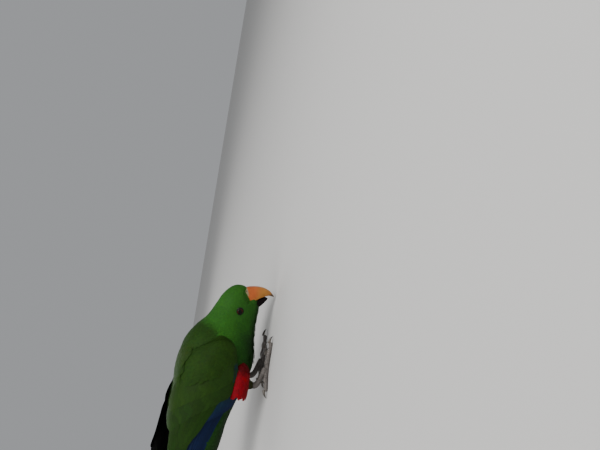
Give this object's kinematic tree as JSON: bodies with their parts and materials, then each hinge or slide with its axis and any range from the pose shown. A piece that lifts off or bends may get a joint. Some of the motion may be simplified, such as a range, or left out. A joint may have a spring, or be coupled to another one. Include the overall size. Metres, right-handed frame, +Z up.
{
  "type": "eclectus parrot, still life-size model",
  "caption": "Male eclectus parrot, crouched on both feet with lowered head, folded wings and tail, as a still life-size model.",
  "frame": {"origin": "middle of the bird's box at floor level", "axes": "+Z up, +X the way the bird faces, +Y its left"},
  "size_m": [0.3322, 0.0998, 0.1257],
  "materials": {
    "head_feathers": "bright grass-green short feathers, faintly glossy",
    "body_feathers": "green contour feathers, soft sheen",
    "wing_feathers": "green coverts and secondaries, blue outer webs on the primaries, dark inner webs",
    "tail_feathers": "green tail feathers turning blue with a pale yellow tip, dark below",
    "leg_feathers": "scarlet flank patch above short olive leg feathers",
    "cere": "pale skin band at the base of the bill",
    "bill_upper": "orange horn, yellower towards the tip, soft polish",
    "bill_lower": "black horn, worn and slightly rough",
    "eye": "wet dark eye with an orange-brown iris",
    "foot_skin": "grey scaly skin",
    "claw": "dark grey horn"
  },
  "bodies": {
    "root": {"head": "head_feathers", "neck": "head_feathers", "torso": "body_feathers", "rump": "body_feathers", "tail": "tail_feathers", "wing_left": "wing_feathers", "wing_right": "wing_feathers", "thigh_left": "leg_feathers", "thigh_right": "leg_feathers", "cere": "cere", "bill_upper": "bill_upper", "bill_lower": "bill_lower", "eye_left": "eye", "eye_right": "eye", "foot_left": "foot_skin", "foot_right": "foot_skin", "claw_left_inner_front": "claw", "claw_left_outer_front": "claw", "claw_left_outer_back": "claw", "claw_left_inner_back": "claw", "claw_right_inner_front": "claw", "claw_right_outer_front": "claw", "claw_right_outer_back": "claw", "claw_right_inner_back": "claw"}
  },
  "joints": []
}
